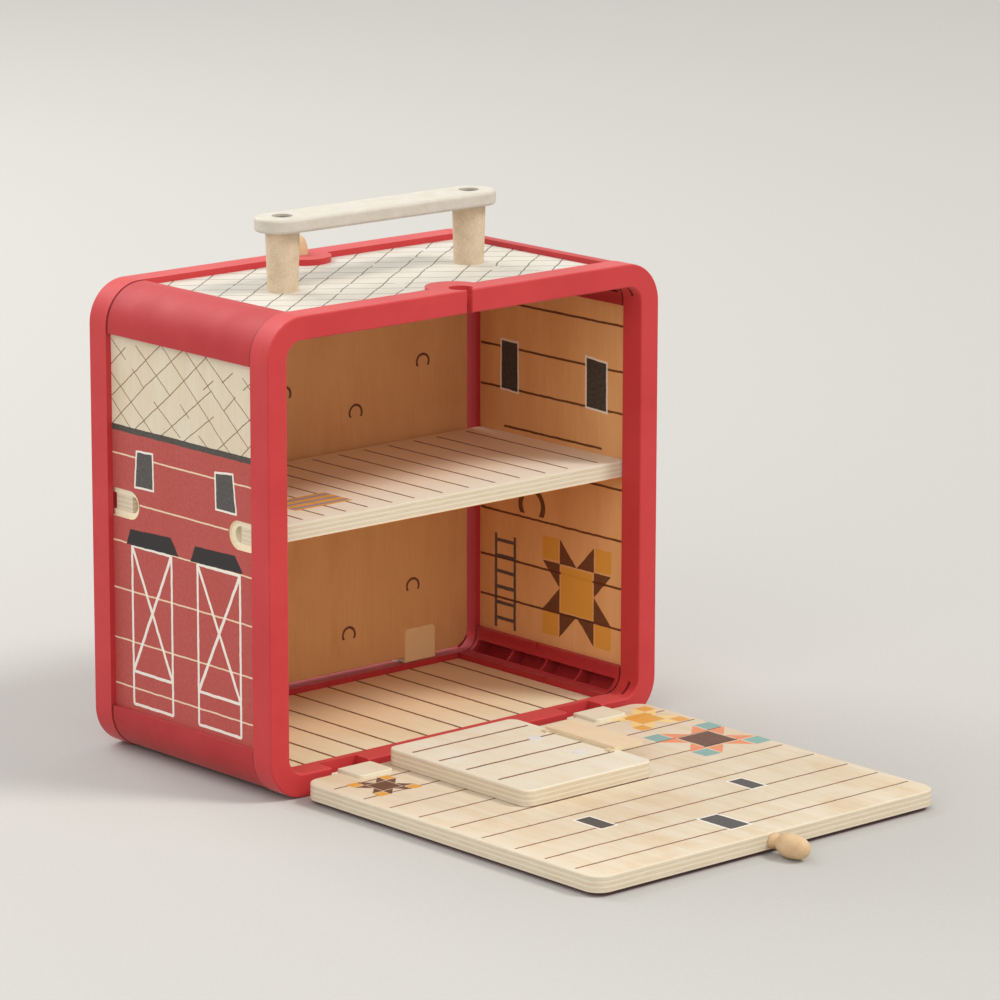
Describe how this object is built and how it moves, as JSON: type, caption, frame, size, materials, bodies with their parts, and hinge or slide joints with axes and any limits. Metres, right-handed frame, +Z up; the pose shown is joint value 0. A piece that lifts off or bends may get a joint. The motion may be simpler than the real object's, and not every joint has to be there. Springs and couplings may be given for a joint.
{
  "type": "toy barn with opening doors",
  "caption": "Carry-along toy barn: red moulded frames, plywood panels and shelf, drop-down front and rear doors on pin hinges, pull-knob catches and a carry handle.",
  "frame": {"origin": "on the ground under the middle of the barn's body, in the plane of the rings' undersides", "axes": "+X to the right along the front, +Y from the front to the back, +Z up"},
  "size_m": [0.29, 0.4319, 0.3102],
  "materials": {
    "red_moulding": "warm red moulded wood-filled plastic with a fine matte surface",
    "birch_ply": "pale birch plywood, clear matte lacquer, printed line work, bare layered edges",
    "wood_composite": "pressed wood composite, pale beige with fine speckles, satin",
    "cream_moulding": "cream moulded plastic, matte",
    "zinc_steel": "zinc plated steel"
  },
  "bodies": {
    "case": {"front_ring": "red_moulding", "rear_ring": "red_moulding", "top_left_corner": "red_moulding", "top_right_corner": "red_moulding", "bottom_left_corner": "red_moulding", "bottom_right_corner": "red_moulding", "left_wall": "birch_ply", "right_wall": "birch_ply", "roof_panel": "birch_ply", "floor_panel": "birch_ply", "shelf": "birch_ply", "handle_bar": "wood_composite", "left_handle_post": "wood_composite", "right_handle_post": "wood_composite", "handle_bolts": "zinc_steel", "handle_washers": "zinc_steel", "handle_nuts": "zinc_steel", "front_left_pin": "zinc_steel", "front_right_pin": "zinc_steel", "rear_left_pin": "zinc_steel", "rear_right_pin": "zinc_steel"},
    "front_door": {"front_door": "birch_ply", "front_left_hinge": "cream_moulding", "front_right_hinge": "cream_moulding", "front_knob_bush": "cream_moulding"},
    "rear_door": {"rear_door": "birch_ply", "rear_left_hinge": "cream_moulding", "rear_right_hinge": "cream_moulding", "rear_knob_bush": "cream_moulding"},
    "front_knob": {"front_knob": "wood_composite", "front_knob_stem": "zinc_steel"},
    "rear_knob": {"rear_knob": "wood_composite", "rear_knob_stem": "zinc_steel"},
    "loose_board": {"loose_board": "birch_ply", "board_plugs": "cream_moulding", "board_slat": "cream_moulding"}
  },
  "joints": [
    {"name": "front_door_hinge", "type": "hinge", "parent": "case", "child": "front_door", "pos_m": [0, -0.0745, 0.00475], "axis": [-1, 0, 0], "range_deg": [0, 90]},
    {"name": "rear_door_hinge", "type": "hinge", "parent": "case", "child": "rear_door", "pos_m": [0, 0.0745, 0.00475], "axis": [-1, 0, 0], "range_deg": [0, 90]},
    {"name": "front_knob_pull", "type": "slide", "parent": "front_door", "child": "front_knob", "axis": [0, -1, 0], "range_m": [0, 0.0164], "stiffness_N_per_m": 150},
    {"name": "rear_knob_pull", "type": "slide", "parent": "rear_door", "child": "rear_knob", "axis": [0, 0, 1], "range_m": [0, 0.0164], "stiffness_N_per_m": 150},
    {"name": "loose_board_lift", "type": "slide", "parent": "front_door", "child": "loose_board", "axis": [0, 0, 1], "range_m": [0, 0.06]}
  ]
}
